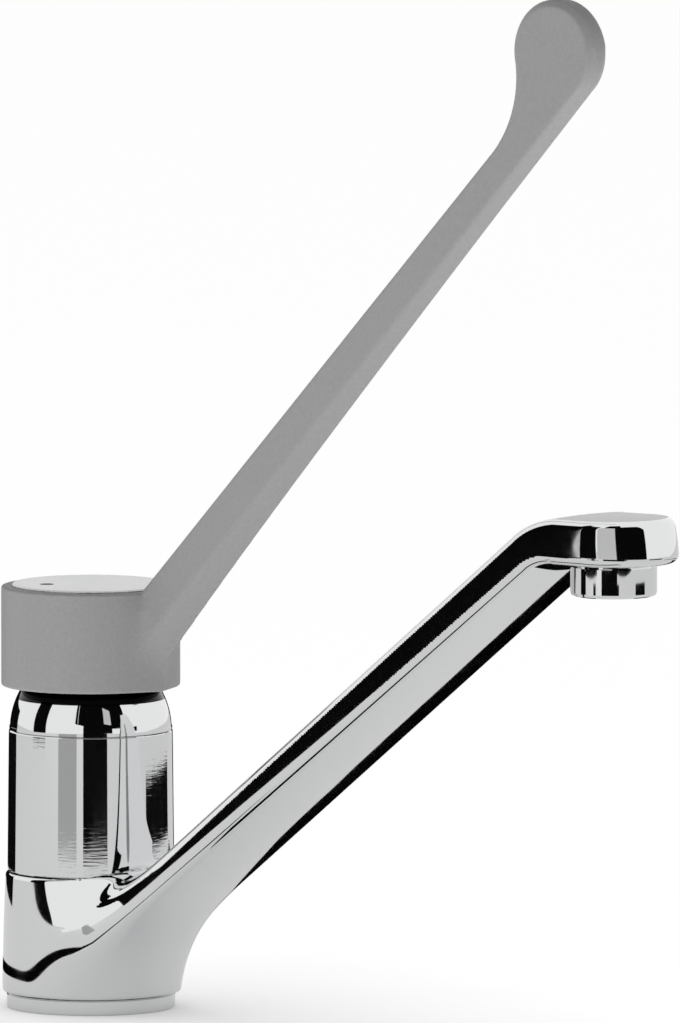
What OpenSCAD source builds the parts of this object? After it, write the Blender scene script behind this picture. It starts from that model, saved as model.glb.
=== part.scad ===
// Elbow lever tap: single-lever mixer with a cast swivel spout and a long elbow lever.
// Millimetres. The origin is on the body axis in the worktop plane, +Z up,
// and +X is the way the spout and the lever point when the tap is closed.

/* [Body] */
// Height of the ring that the body stands on
base_ring_h = 4.3; // [3:0.1:8]
// Height of the spout's swivel ring, with its two seams
swivel_h = 35.1; // [33:0.1:45]
// Height of the visible barrel
barrel_h = 40.6; // [39:0.1:60]
// Barrel radius at its lower end, which the rings, the dome and the collar follow
barrel_r = 23.9; // [23.4:0.1:26]

/* [Connections] */
// Radius of the two supply inlets, tapped M10 x 1
inlet_r = 4.5; // [4:0.1:4.6]
// Tapped depth of an inlet
inlet_depth = 13; // [10:0.5:14]
// Radius of the passage above an inlet
passage_r = 3.2; // [2.5:0.1:3.4]
// Radius of the fixing stud's hole, tapped M8
stud_r = 3.4; // [2.5:0.1:3.6]
// Depth of the fixing stud's hole
stud_depth = 14; // [10:0.5:15]

/* [Cartridge] */
// Outer radius of the cartridge
cartridge_r = 17.45; // [17:0.05:17.8]
// Thickness of the cartridge's foot
foot_t = 6; // [5:0.1:7]
// Thickness of the fixed ceramic disc
fixed_t = 3.4; // [2.5:0.1:4]
// Thickness of the moving ceramic disc
moving_t = 3.9; // [3:0.1:4.5]
// Radius of the moving ceramic disc
moving_r = 11.6; // [11:0.1:12]
// Thickness of the carrier on the moving disc
carrier_t = 5.4; // [5:0.1:6]
// Radius of the stem's ball foot
ball_r = 3; // [2.6:0.1:3.1]
// Thickness of the rotor's flange
flange_t = 4.4; // [4:0.1:5]
// Side of the square stem
stem_side = 8; // [7.4:0.1:8.4]
// Radius of the pin that the stem tilts on
pin_r = 2; // [1.5:0.1:2.2]
// Depth of the retaining nut's thread in the body
nut_thread_h = 6; // [5:0.1:8]
// Lift of the lever from closed to full flow, in degrees
lift = 25; // [15:1:25]

/* [Spout] */
// Distance from the body axis to the outlet axis
reach = 200; // [170:1:220]
// Rise of the spout above the horizontal, in degrees
spout_angle = 37; // [34:0.5:39]
// Rise of the nose above the horizontal, in degrees
nose_angle = 1; // [0:0.5:4]
// Half thickness of the spout where it leaves the ring
spout_half_t = 5.3; // [5:0.1:6]
// Rounding of the spout's long edges
spout_edge = 2; // [1:0.1:3]
// Radius of the waterway in the spout
waterway_r = 3.4; // [3:0.1:3.6]

/* [Aerator] */
// Outer radius of the aerator housing
aerator_r = 12.25; // [12:0.05:13]
// Visible height of the aerator housing
aerator_h = 8.4; // [7.5:0.1:14]
// Radius of the aerator's thread
aerator_thread_r = 10.9; // [10.6:0.1:11.2]
// Length of the aerator's thread
aerator_thread_h = 5; // [4:0.1:6]

/* [Lever] */
// Height of the collar's lower edge above the tilt axis
collar_lift = 12.7; // [12:0.1:16]
// Height of the collar
collar_h = 28.7; // [27:0.1:34]
// Wall of the collar
collar_wall = 3.05; // [2:0.05:3.2]
// How far the collar's front edge stands out under the arm
prow = 2.4; // [1:0.1:4]
// Horizontal distance from the collar's front to the paddle's centre
paddle_out = 154; // [110:0.1:180]
// Height of the paddle's centre above the collar's top
paddle_up = 163.8; // [130:0.1:180]
// Radius of the paddle's rim
paddle_r = 15.3; // [12:0.1:18]
// Bevel of the paddle's rim
paddle_bevel = 1.7; // [0.8:0.1:2.5]
// Radius of the hollow between the arm's back and the paddle
neck_r = 30; // [20:1:60]
// Height of the arm's side face at the collar
arm_side_h = 11; // [9:0.1:13]
// Half thickness of the arm at the collar
arm_half_root = 5.8; // [5:0.1:7]
// Depth of the ridge under the arm
keel = 3.2; // [2:0.1:4.5]
// Thickness of the top disc
cap_t = 2; // [1.5:0.1:3]

/* [Hidden] */
// Clearance between pieces that turn or slide past each other
run_gap = 0.3;
// Clearance between pieces that seat in each other
fit = 0.05;
// Overlap that keeps cuts clean
eps = 0.5;
// Chamfer of turned edges
edge_cut = 0.4;
$fn = 96;

// Radii that follow the barrel
barrel_r_top = barrel_r - 0.4;
base_ring_r = barrel_r + 0.25;
swivel_r_low = barrel_r + 1.4;
swivel_r_top = barrel_r + 0.5;
swivel_wall = 7.2;
ring_bore_r = swivel_r_low - swivel_wall;
tail_r = ring_bore_r - run_gap;
collar_r = barrel_r + 1.75;
base_seal_inset = 2;
base_seal_rim = 1.4;

// Levels from the worktop up
z_ring_low = base_ring_h + run_gap;
z_barrel = base_ring_h + swivel_h;
z_ring_top = z_barrel - run_gap;
z_pivot = z_barrel + barrel_h;

// Cartridge levels from the nut down
lip_t = 2;
z_housing_top = z_pivot - nut_thread_h;
z_flange_top = z_housing_top - lip_t - run_gap;
z_rotor = z_flange_top - flange_t;
z_carrier_top = z_rotor - run_gap;
z_carrier = z_carrier_top - carrier_t;
z_moving = z_carrier - fit - moving_t;
z_fixed = z_moving - fit - fixed_t;
z_foot_top = z_fixed - fit;
z_cup = z_foot_top - foot_t;

// Cartridge radii
cup_r = cartridge_r + 0.25;
housing_in_r = cartridge_r - 1.8;
flange_r = housing_in_r - run_gap;
neck_out_r = 13.1;
lip_r = neck_out_r + run_gap;
nut_bore_r = neck_out_r + 1.2;
nut_r = cup_r + 1.7;
nut_ring_h = 4.4;
nut_step = 1;
hex_floor = 1.5;
hex_r = nut_bore_r + 3.4;
rotor_rise = 7;
slot_waist = 1;
pin_fit = 0.02;
pin_l = 2 * neck_out_r - 4;
ball_neck_r = ball_r - 0.6;
z_ball = z_carrier_top - ball_r + 1.4;
stem_arm = z_pivot - z_ball;
slide_travel = stem_arm * sin(lift);
disc_x = -slide_travel / 2;
port_side = 7.5;
port_back = 4.6;
outlet_x = 7;
port_r = 2.9;
port_seal_w = 2;
port_seal_h = 1.3;
inlet_ports = [[-port_back, -port_side], [-port_back, port_side]];
port_places = concat(inlet_ports, [[outlet_x, 0]]);
inlet_spread = 1.13;
stud_x = outlet_x + 2.5;
pocket_r = port_r + 2.2;
pocket_x = 4;
carrier_r = moving_r - 0.4;
tongue_w = 3;
tongue_h = 2;
tongue_l = 10;
tongue_y = 8.2;

// Tail grooves: two slide rings, two seals and the gallery between them
slide_ring_h = 3;
slide_ring_t = 1.3;
seal_h = 2.6;
seal_t = 2.1;
groove_land = 2;
gallery_h = 9;
gallery_t = 3;
z_cross = (z_ring_low + z_ring_top) / 2;
z_gallery = z_cross - gallery_h / 2;
z_slide_low = z_ring_low + groove_land;
z_slide_top = z_ring_top - groove_land - slide_ring_h;
z_seal_low = z_slide_low + slide_ring_h + groove_land;
z_seal_top = z_slide_top - groove_land - seal_h;

// Spout sizes that follow the swivel ring
spout_half_w = swivel_r_low - 7.3;
nose_half_w = spout_half_w - 1.4;
nose_half_t = spout_half_t + 1.8;
nose_front = nose_half_w + 3.6;
ring_foot = 1.6;
ring_skirt = 9;
bore_past = 12;

// Spout line: a rise from the ring, a bend and the nose
nose_back = 16.8;
bend_r = 22;
ring_mid_r = swivel_r_low - 0.3;
rise_z = z_ring_top - 10.3;
rise_places = [0, 0.07, 0.1, 0.14, 0.18, 0.24, 0.4, 0.6, 0.8, 1];
bend_places = [0.2, 0.4, 0.6, 0.8, 1];
end_step = 12;
rise_thicken = 0.9;
root_flare_t = 3.4;
root_flare_w = 2.2;
root_run = 8;
x_bend = reach - nose_back;
z_bend = rise_z + tan(spout_angle) * (x_bend - ring_mid_r);
turn = spout_angle - nose_angle;
bend_cut = bend_r * tan(turn / 2);
z_nose = z_bend + nose_back * tan(nose_angle);
z_seat = z_nose - nose_half_t + 0.1;
z_outlet = z_seat - aerator_h;
front_rake = 10;
nose_c = reach + nose_front - nose_half_w;
corner_steps = 5;

// Aerator: its wall, the shelf in its mouth, the screen, the jet former and the washer
aerator_in_r = aerator_thread_r - 1.2;
shelf_t = 1.5;
shelf_r = aerator_in_r - 1;
aerator_foot = 1.1;
screen_t = 1;
screen_hole_r = 0.9;
screen_rings = 3;
screen_pitch = (shelf_r - 1.6) / screen_rings;
insert_bore_r = aerator_in_r - 1.3;
insert_plate_t = 2.4;
jet_r = 0.8;
jet_rings = 2;
jet_pitch = (insert_bore_r - 1.5) / jet_rings;
washer_t = 1.4;
throat_r = aerator_thread_r - 2.4;
z_throat = z_nose + 2.7;

// Dome: the ball that the collar clears, its wall, its mouth and its foot
dome_r = barrel_r_top - 0.3;
dome_in_r = dome_r - 1.6;
nut_ring_r = dome_in_r - 1.2;
dome_seat_r = max(nut_ring_r, nut_r) + fit;
dome_mouth_r = nut_bore_r + 0.2;
dome_seam = 0.15;
dome_foot_h = 1;

// Lever levels and the arm's side view
z_collar = z_pivot + collar_lift;
z_collar_top = z_collar + collar_h;
collar_in_r = collar_r - collar_wall;
collar_foot = 0.5;
collar_brim = 0.8;
cap_r = collar_in_r;
cap_seat = cap_t - 0.6;
recess_clear = 8;
web_t = 3.5;
z_web = z_collar_top - cap_seat - web_t;
boss_r = 9;
boss_drop = 12.5;
stem_top = z_web - 1.5;
screw_r = 2.5;
screw_reach = 11;
screw_head_r = 4.2;
screw_head_h = 2.8;
screw_hex_r = 2.3;
screw_hex_h = 2;
arm_set = 1.15;
arm_half_tip = arm_half_root - 1.8;
arm_root = [collar_r - arm_set, z_collar_top];
paddle_c = [collar_r + paddle_out, z_collar_top + paddle_up];
keel_blunt = 0.3;
keel_drop = 4.5;
keel_run = 40;
keel_places = [0, 12, 28, 50, 85];
paddle_over = 4.5;
back_rise = touch_angle(arm_root, paddle_c, paddle_over);
under = [sin(back_rise), -cos(back_rise)];
side_root = arm_root + arm_side_h * under;
keel_root = side_root + keel * under;
side_rise = touch_angle(side_root, paddle_c, paddle_r - paddle_bevel);
keel_rise = touch_angle(keel_root, paddle_c, paddle_r - keel_blunt);
arm_inside = collar_r - collar_wall / 2;
arm_end = paddle_c[0] + paddle_r;
arm_top = paddle_c[1] + 2 * paddle_r;
tip_x = collar_r + prow;

// Index dot in the top disc
dot_r = 2;
dot_t = 0.75;
dot_at = [-7, -10.9];

// A closed ring of rectangular section about the Z axis
module ring(r_in, r_out, z_low, z_high) {
    rotate_extrude()
        translate([r_in, z_low]) square([r_out - r_in, z_high - z_low]);
}

// An upright cylinder between two levels
module post(r, z_low, z_high, at = [0, 0]) {
    translate([at[0], at[1], z_low]) cylinder(r = r, h = z_high - z_low);
}

// A skin through rings of points that all have the same count
module loft(rings) {
    count = len(rings[0]);
    last = len(rings) - 1;
    sides = [
        for (k = [0 : last - 1], i = [0 : count - 1])
        let (j = (i + 1) % count, a = k * count, b = a + count)
        each [[a + i, b + j, a + j], [a + i, b + i, b + j]]
    ];
    ends = [
        [for (i = [0 : count - 1]) i],
        [for (i = [count - 1 : -1 : 0]) last * count + i]
    ];
    polyhedron(points = [for (r = rings) each r], faces = concat(sides, ends), convexity = 6);
}

// Chrome body: barrel, cartridge cup and the tail that the spout turns on
module body() {
    color("gainsboro")
    difference() {
        rotate_extrude()
            polygon([
                [0, 0], [tail_r, 0], [tail_r, z_barrel], [barrel_r - edge_cut, z_barrel],
                [barrel_r, z_barrel + edge_cut], [barrel_r_top, z_pivot - edge_cut],
                [barrel_r_top - edge_cut, z_pivot], [nut_r + fit, z_pivot],
                [nut_r + fit, z_housing_top], [cup_r, z_housing_top], [cup_r, z_cup], [0, z_cup]
            ]);
        for (z = [z_slide_low, z_slide_top])
            ring(tail_r - slide_ring_t, tail_r + eps, z, z + slide_ring_h);
        for (z = [z_seal_low, z_seal_top])
            ring(tail_r - seal_t, tail_r + eps, z, z + seal_h);
        ring(tail_r - gallery_t, tail_r + eps, z_gallery, z_gallery + gallery_h);
        for (p = inlet_ports) {
            post(inlet_r, -eps, inlet_depth, inlet_spread * p);
            post(passage_r, inlet_depth - eps, z_cup + eps, inlet_spread * p);
        }
        post(stud_r, -eps, stud_depth, [stud_x, 0]);
        post(passage_r, z_cross - run_gap, z_cup + eps, [stud_x, 0]);
        translate([stud_x, 0, z_cross])
            rotate([0, 90, 0]) cylinder(r = passage_r, h = tail_r - stud_x);
    }
}

// Ring that the body stands on, screwed to the tail's end
module base_ring() {
    color("silver")
    difference() {
        rotate_extrude()
            polygon([
                [tail_r + fit, 0], [base_ring_r - edge_cut, 0], [base_ring_r, edge_cut],
                [base_ring_r, base_ring_h - edge_cut], [base_ring_r - edge_cut, base_ring_h],
                [tail_r + fit, base_ring_h]
            ]);
        ring(tail_r + base_seal_inset, base_ring_r - base_seal_rim, -eps, base_ring_h / 2);
    }
}

// Rubber seal let into the base ring, flush with the worktop
module base_seal() {
    color("dimgray")
        ring(tail_r + base_seal_inset + fit, base_ring_r - base_seal_rim - fit, 0, base_ring_h / 2 - fit);
}

// One ring of points across the spout: centre, rise, half thickness and half width
function spout_section(x, z, rise, half_t, half_w) =
    let (r = min(spout_edge, 0.9 * half_w))
    [
        for (corner = [0 : 3], i = [0 : corner_steps])
        let (
            t = 90 * (corner + i / corner_steps),
            w = (corner == 0 || corner == 3 ? 1 : -1) * (half_w - r) + r * cos(t),
            h = (corner < 2 ? 1 : -1) * (half_t - r) + r * sin(t)
        )
        [x - h * sin(rise), w, z + h * cos(rise)]
    ];

// How much of the root's flare is left at a distance from the axis
function root_share(x) = exp(-max(0, x - ring_mid_r) / root_run);

// How far along the rise a place is, from the ring to the bend
function rise_share(x) = (x - ring_mid_r) / (x_bend - ring_mid_r);

// Half thickness along the rise, thicker where it flows out of the ring
function rise_half_t(x) = spout_half_t + rise_thicken * rise_share(x) + root_flare_t * root_share(x);

// Half width along the rise, with the same flow out of the ring
function rise_half_w(x) =
    spout_half_w + (nose_half_w - spout_half_w) * rise_share(x) + root_flare_w * root_share(x);

// Half width of the nose's round end
function end_half_w(x) =
    let (d = max(0, x - nose_c)) sqrt(max(0, nose_half_w * nose_half_w - d * d));

// How much the round end's edges take off its thickness at the very front
function end_edge(x) =
    let (d = max(0, x - (nose_c + nose_half_w - spout_edge)))
    spout_edge - sqrt(max(0, spout_edge * spout_edge - d * d));

// Solid of the spout beyond the ring
module spout_arm() {
    x_from = ring_mid_r / 3;
    x_to = x_bend - bend_cut * cos(spout_angle);
    x_rise = [for (t = rise_places) x_from + t * (x_to - x_from)];
    rise_rings = [for (x = x_rise)
        spout_section(x, rise_z + tan(spout_angle) * (x - ring_mid_r), spout_angle,
            rise_half_t(x), rise_half_w(x))];
    bend_from = [x_bend, z_bend] - bend_cut * [cos(spout_angle), sin(spout_angle)];
    bend_c = bend_from + bend_r * [sin(spout_angle), -cos(spout_angle)];
    bend_rings = [for (t = bend_places)
        let (
            a = spout_angle - t * turn,
            p = bend_c + bend_r * [-sin(a), cos(a)],
            half_t = (1 - t) * rise_half_t(bend_from[0]) + t * nose_half_t,
            half_w = (1 - t) * rise_half_w(bend_from[0]) + t * nose_half_w
        )
        spout_section(p[0], p[1], a, half_t, half_w)];
    x_nose = concat(
        [reach, nose_c],
        [for (t = [end_step : end_step : 90 - end_step / 2]) nose_c + nose_half_w * sin(t)]
    );
    nose_rings = [for (x = x_nose)
        spout_section(x, z_nose + tan(nose_angle) * (x - reach),
            nose_angle + front_rake * max(0, x - reach) / nose_front,
            nose_half_t - end_edge(x), end_half_w(x))];
    loft(concat(rise_rings, bend_rings, nose_rings));
}

// Cast swivel spout: ring, rise, nose, waterway and the aerator's socket
module spout() {
    water_run = (x_bend - ring_bore_r) / cos(spout_angle) + waterway_r;
    round_in = ring_foot * (1 - cos(45));
    color("gainsboro")
    difference() {
        union() {
            rotate_extrude()
                polygon([
                    [ring_bore_r, z_ring_low], [swivel_r_low - ring_foot, z_ring_low],
                    [swivel_r_low - round_in, z_ring_low + round_in], [swivel_r_low, z_ring_low + ring_foot],
                    [swivel_r_low, z_ring_low + ring_skirt], [swivel_r_top, z_ring_top - edge_cut],
                    [swivel_r_top - edge_cut, z_ring_top], [ring_bore_r, z_ring_top]
                ]);
            spout_arm();
        }
        post(ring_bore_r, z_ring_low - bore_past, z_ring_top + bore_past);
        translate([x_bend, 0, z_bend]) {
            sphere(r = waterway_r + run_gap);
            rotate([0, -90 - spout_angle, 0]) cylinder(r = waterway_r, h = water_run);
            rotate([0, 90 - nose_angle, 0]) cylinder(r = waterway_r, h = nose_back);
        }
        post(aerator_r + run_gap, z_outlet, z_seat, [reach, 0]);
        post(aerator_thread_r + fit, z_outlet, z_seat + aerator_thread_h + washer_t + 2 * fit, [reach, 0]);
        post(throat_r, z_outlet, z_throat, [reach, 0]);
    }
}

// Two rubber seals on the tail, above and below the gallery
module spout_seals() {
    color("black")
    for (z = [z_seal_low, z_seal_top])
        ring(tail_r - seal_t + fit, ring_bore_r - 2 * fit, z + fit, z + seal_h - fit);
}

// One plastic slide ring on the tail
module slide_ring(z) {
    color("white")
        ring(tail_r - slide_ring_t + fit, ring_bore_r - fit, z + fit, z + slide_ring_h - fit);
}

module upper_slide_ring() {
    slide_ring(z_slide_top);
}

module lower_slide_ring() {
    slide_ring(z_slide_low);
}

// Chrome aerator housing with its thread and the shelf in its mouth
module aerator_housing() {
    round_in = aerator_foot * (1 - cos(45));
    color("silver")
    translate([reach, 0, 0])
    rotate_extrude()
        polygon([
            [shelf_r, z_outlet], [aerator_r - aerator_foot, z_outlet],
            [aerator_r - round_in, z_outlet + round_in], [aerator_r, z_outlet + aerator_foot],
            [aerator_r, z_seat - fit], [aerator_thread_r, z_seat - fit],
            [aerator_thread_r, z_seat + aerator_thread_h], [aerator_in_r, z_seat + aerator_thread_h],
            [aerator_in_r, z_outlet + shelf_t], [shelf_r, z_outlet + shelf_t]
        ]);
}

// Round holes in rings about the outlet axis
module jets(hole_r, pitch, rings, z_low, z_high) {
    post(hole_r, z_low, z_high, [reach, 0]);
    for (k = [1 : rings], i = [0 : 6 * k - 1])
        post(hole_r, z_low, z_high, [reach + k * pitch * cos(60 * i / k), k * pitch * sin(60 * i / k)]);
}

// Outlet screen on the housing's shelf
module aerator_screen() {
    z = z_outlet + shelf_t + fit;
    color("silver")
    difference() {
        post(aerator_in_r - fit, z, z + screen_t, [reach, 0]);
        jets(screen_hole_r, screen_pitch, screen_rings, z - eps, z + screen_t + eps);
    }
}

// Plastic jet former above the screen
module aerator_insert() {
    z = z_outlet + shelf_t + screen_t + 2 * fit;
    z_top = z_seat + aerator_thread_h - edge_cut;
    color("whitesmoke")
    difference() {
        post(aerator_in_r - fit, z, z_top, [reach, 0]);
        post(insert_bore_r, z - eps, z_seat - insert_plate_t, [reach, 0]);
        post(insert_bore_r, z_seat, z_top + eps, [reach, 0]);
        jets(jet_r, jet_pitch, jet_rings, z_seat - insert_plate_t - eps, z_seat + eps);
    }
}

// Rubber washer between the aerator and the spout
module aerator_washer() {
    z = z_seat + aerator_thread_h + fit;
    color("black")
    translate([reach, 0, 0])
        ring(throat_r, aerator_thread_r - 4 * fit, z, z + washer_t);
}

// Moulded foot of the cartridge with its three ports
module cartridge_foot() {
    color("whitesmoke")
    difference() {
        post(cartridge_r, z_cup + fit, z_foot_top);
        for (p = port_places) {
            post(port_r, z_cup - eps, z_foot_top + eps, p);
            post(port_r + port_seal_w, z_cup - eps, z_cup + port_seal_h, p);
        }
    }
}

// Three rubber rings under the cartridge's ports
module cartridge_seals() {
    color("black")
    for (p = port_places)
        translate([p[0], p[1], 0])
            ring(port_r + 4 * fit, port_r + port_seal_w - fit, z_cup + fit, z_cup + port_seal_h - fit);
}

// Moulded housing that holds the discs and the rotor
module cartridge_housing() {
    color("whitesmoke")
    rotate_extrude()
        polygon([
            [housing_in_r, z_foot_top + fit], [cartridge_r, z_foot_top + fit],
            [cartridge_r, z_housing_top - fit], [lip_r, z_housing_top - fit],
            [lip_r, z_flange_top + run_gap], [housing_in_r, z_flange_top + run_gap]
        ]);
}

// Lower ceramic disc with its ports
module fixed_disc() {
    color("ivory")
    difference() {
        post(housing_in_r - fit, z_fixed, z_fixed + fixed_t);
        for (p = port_places) post(port_r, z_fixed - eps, z_fixed + fixed_t + eps, p);
    }
}

// Upper ceramic disc with its mixing pocket
module moving_disc() {
    color("ivory")
    difference() {
        post(moving_r, z_moving, z_moving + moving_t, [disc_x, 0]);
        post(pocket_r, z_moving - eps, z_moving + moving_t / 2, [disc_x + pocket_x, 0]);
    }
}

// Carrier that is keyed on the moving disc and driven by the stem's ball
module disc_carrier() {
    color("steelblue")
    difference() {
        union() {
            post(carrier_r, z_carrier, z_carrier_top, [disc_x, 0]);
            for (side = [-1, 1])
                translate([disc_x - tongue_l / 2, side * tongue_y - tongue_w / 2, z_carrier_top - eps])
                    cube([tongue_l, tongue_w, tongue_h + eps]);
        }
        post(ball_r + run_gap, z_ball - ball_r - run_gap, z_carrier_top + eps);
    }
}

// Side view of the rotor's slot, wide enough for the stem at both ends of its lift
module rotor_slot() {
    half = stem_side / 2 + run_gap;
    low = z_rotor - eps;
    high = z_pivot + rotor_rise + eps;
    swing_low = (z_pivot - low) * tan(lift);
    swing_high = (high - z_pivot) * tan(lift);
    translate([0, half, 0])
    rotate([90, 0, 0])
    linear_extrude(2 * half)
        polygon([
            [-half, low], [half + swing_low, low], [half + slot_waist, z_pivot], [half, high],
            [-half - slot_waist - swing_high, high], [-half - slot_waist, z_pivot]
        ]);
}

// Rotor that turns in the housing and carries the tilt pin
module rotor() {
    color("steelblue")
    difference() {
        union() {
            post(flange_r, z_rotor, z_flange_top);
            post(neck_out_r, z_rotor, z_pivot + rotor_rise);
        }
        rotor_slot();
        for (side = [-1, 1])
            translate([-flange_r - eps, side * tongue_y - tongue_w / 2 - run_gap, z_rotor - eps])
                cube([2 * flange_r + 2 * eps, tongue_w + 2 * run_gap, tongue_h + eps]);
        pin_hole(pin_r + pin_fit);
    }
}

// Cylinder along the tilt axis
module pin_hole(r, length = 2 * collar_r) {
    translate([0, 0, z_pivot])
        rotate([90, 0, 0]) cylinder(r = r, h = length, center = true);
}

// Steel pin that the stem tilts on
module pivot_pin() {
    color("darkgray")
        pin_hole(pin_r, pin_l);
}

// Square stem with its ball foot and the handle screw's thread
module stem() {
    half = stem_side / 2;
    color("darkgray")
    difference() {
        union() {
            translate([-half, -half, z_pivot - half])
                cube([stem_side, stem_side, stem_top - z_pivot + half]);
            post(ball_neck_r, z_ball, z_pivot - half + eps);
            translate([0, 0, z_ball]) sphere(r = ball_r);
        }
        pin_hole(pin_r + fit);
        post(screw_r + fit, stem_top - screw_reach - eps, stem_top + eps);
    }
}

// Brass nut that holds the cartridge down, with a hexagon and the dome's thread
module retaining_nut() {
    color("goldenrod")
    difference() {
        union() {
            post(nut_r, z_housing_top + fit, z_pivot);
            post(nut_ring_r, z_pivot + fit, z_pivot + nut_ring_h);
            post(nut_r, z_pivot - eps, z_pivot + nut_step);
        }
        post(nut_bore_r, z_housing_top - eps, z_pivot + nut_ring_h + eps);
        translate([0, 0, z_pivot + hex_floor]) cylinder(r = hex_r, h = nut_ring_h, $fn = 6);
    }
}

// Chrome dome over the nut, open at the top for the stem
module dome_cap() {
    color("gainsboro")
    translate([0, 0, z_pivot])
    difference() {
        union() {
            intersection() {
                sphere(r = dome_r);
                post(barrel_r, dome_seam, dome_r);
            }
            ring(dome_seat_r, dome_r + dome_seam, dome_seam, dome_foot_h);
        }
        intersection() {
            sphere(r = dome_in_r);
            post(barrel_r, nut_ring_h + fit, dome_r);
        }
        post(nut_ring_r + fit, -eps, nut_ring_h + 2 * fit);
        post(dome_seat_r, -eps, nut_step + 2 * fit);
        post(dome_mouth_r, 0, dome_r + eps);
    }
}

// Angle of the line from a point that touches a circle on its right-hand side
function touch_angle(from, centre, r) =
    let (v = centre - from) atan2(v[1], v[0]) - asin(r / norm(v));

// Height of a rising line at a distance from the axis
function line_z(from, angle, x) = from[1] + tan(angle) * (x - from[0]);

// Height of the ridge under the arm, which hangs lower where it meets the collar
function keel_z(x) =
    let (drop = keel_drop * exp(-max(0, x - tip_x) / keel_run))
    max(z_collar + collar_foot, line_z(keel_root, keel_rise, x) - drop);

// Places along the arm where its ridge changes slope
function keel_xs() = [for (run = keel_places) tip_x + run];

// Half thickness along the arm, a little inside the paddle's faces at its end
function arm_half(x) =
    let (t = (x - arm_inside) / (arm_end - arm_inside))
    arm_half_root + t * (arm_half_tip - 2 * fit - arm_half_root);

// Side view of the arm, with the hollow where its back flows into the paddle
module arm_side() {
    along = [cos(back_rise), sin(back_rise)];
    up = [-along[1], along[0]];
    centre_up = (paddle_c - arm_root) * up;
    run = sqrt(pow(paddle_r + neck_r, 2) - pow(neck_r - centre_up, 2));
    back_touch = arm_root + along * ((paddle_c - arm_root) * along - run);
    neck_c = back_touch + up * neck_r;
    paddle_touch = paddle_c + paddle_r * (neck_c - paddle_c) / norm(neck_c - paddle_c);
    keel_touch = paddle_c + (paddle_r - keel_blunt) * [sin(keel_rise), -cos(keel_rise)];
    difference() {
        polygon(concat(
            [[arm_inside, keel_z(arm_inside)]],
            [for (x = keel_xs()) [x, keel_z(x)]],
            [keel_touch, paddle_c, paddle_touch, back_touch, arm_root],
            [[arm_inside, arm_root[1] - collar_brim]]
        ));
        translate(neck_c) circle(r = neck_r);
    }
}

// One five-sided section of the arm: two sides and the ridge below
function arm_section(x) =
    let (half = arm_half(x), low = line_z(side_root, side_rise, x))
    [
        [x, half, low], [x, half, arm_top], [x, -half, arm_top], [x, -half, low],
        [x, 0, keel_z(x) - keel_blunt]
    ];

// Disc at the arm's end, with a bevelled rim
module paddle() {
    rim_half = arm_half_tip - paddle_bevel;
    translate([paddle_c[0], 0, paddle_c[1]])
    rotate([90, 0, 0])
    rotate_extrude()
        polygon([
            [0, -arm_half_tip], [paddle_r - paddle_bevel, -arm_half_tip], [paddle_r, -rim_half],
            [paddle_r, rim_half], [paddle_r - paddle_bevel, arm_half_tip], [0, arm_half_tip]
        ]);
}

// Solid of the arm and the paddle, with its ridged underside
module lever_arm() {
    depth = 4 * arm_half_root;
    intersection() {
        translate([0, depth / 2, 0]) rotate([90, 0, 0]) linear_extrude(depth) arm_side();
        loft([for (x = concat([arm_inside - eps], keel_xs(), [arm_end])) arm_section(x)]);
    }
    paddle();
}

// Grey lever: hollow collar with its front edge, the arm and the stem's socket
module lever() {
    touch = acos(collar_r / tip_x);
    touch_at = collar_r * [cos(touch), sin(touch)];
    half = stem_side / 2 + fit;
    color("darkgray")
    difference() {
        union() {
            rotate_extrude()
                polygon([
                    [0, z_collar], [collar_r - collar_foot, z_collar], [collar_r, z_collar + collar_foot],
                    [collar_r, z_collar_top - collar_brim], [collar_r - collar_brim, z_collar_top],
                    [0, z_collar_top]
                ]);
            translate([0, 0, z_collar])
                linear_extrude(collar_h - collar_brim)
                    polygon([[0, 0], [touch_at[0], -touch_at[1]], [tip_x, 0], touch_at]);
            lever_arm();
        }
        difference() {
            post(collar_in_r, z_collar - eps, z_web);
            post(boss_r, z_web - boss_drop, z_web + eps);
        }
        post(cap_r + fit, z_collar_top - cap_seat, z_collar_top + recess_clear);
        translate([-half, -half, z_web - boss_drop - eps])
            cube([2 * half, 2 * half, stem_top + fit - z_web + boss_drop + eps]);
        post(screw_r + run_gap, z_web - boss_drop, z_collar_top);
        post(screw_head_r + run_gap, z_collar_top - cap_seat - screw_head_h - fit, z_collar_top);
    }
}

// Chrome disc in the collar's top
module top_cap() {
    z = z_collar_top - cap_seat + fit;
    color("silver")
    difference() {
        rotate_extrude()
            polygon([
                [0, z], [cap_r, z], [cap_r, z + cap_t - edge_cut],
                [cap_r - edge_cut, z + cap_t], [0, z + cap_t]
            ]);
        post(dot_r + fit, z + cap_t - dot_t - fit, z + cap_t + eps, dot_at);
    }
}

// Small dark index dot in the disc
module index_dot() {
    z = z_collar_top - cap_seat + cap_t - dot_t + fit;
    color("dimgray")
        post(dot_r, z, z + dot_t, dot_at);
}

// Screw that ties the lever to the stem, under the disc
module handle_screw() {
    z = z_collar_top - cap_seat;
    color("darkgray")
    difference() {
        union() {
            post(screw_head_r, z - screw_head_h, z - fit);
            post(screw_r, stem_top - screw_reach, z - screw_head_h + eps);
        }
        translate([0, 0, z - screw_hex_h]) cylinder(r = screw_hex_r, h = screw_hex_h + eps, $fn = 6);
    }
}

body();
base_ring();
base_seal();
spout();
spout_seals();
upper_slide_ring();
lower_slide_ring();
aerator_housing();
aerator_insert();
aerator_screen();
aerator_washer();
cartridge_foot();
cartridge_seals();
cartridge_housing();
fixed_disc();
moving_disc();
disc_carrier();
rotor();
pivot_pin();
stem();
retaining_nut();
dome_cap();
lever();
top_cap();
index_dot();
handle_screw();
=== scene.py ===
"""Smooth forms, finishes and a studio for the elbow lever tap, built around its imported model."""

import math

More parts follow.
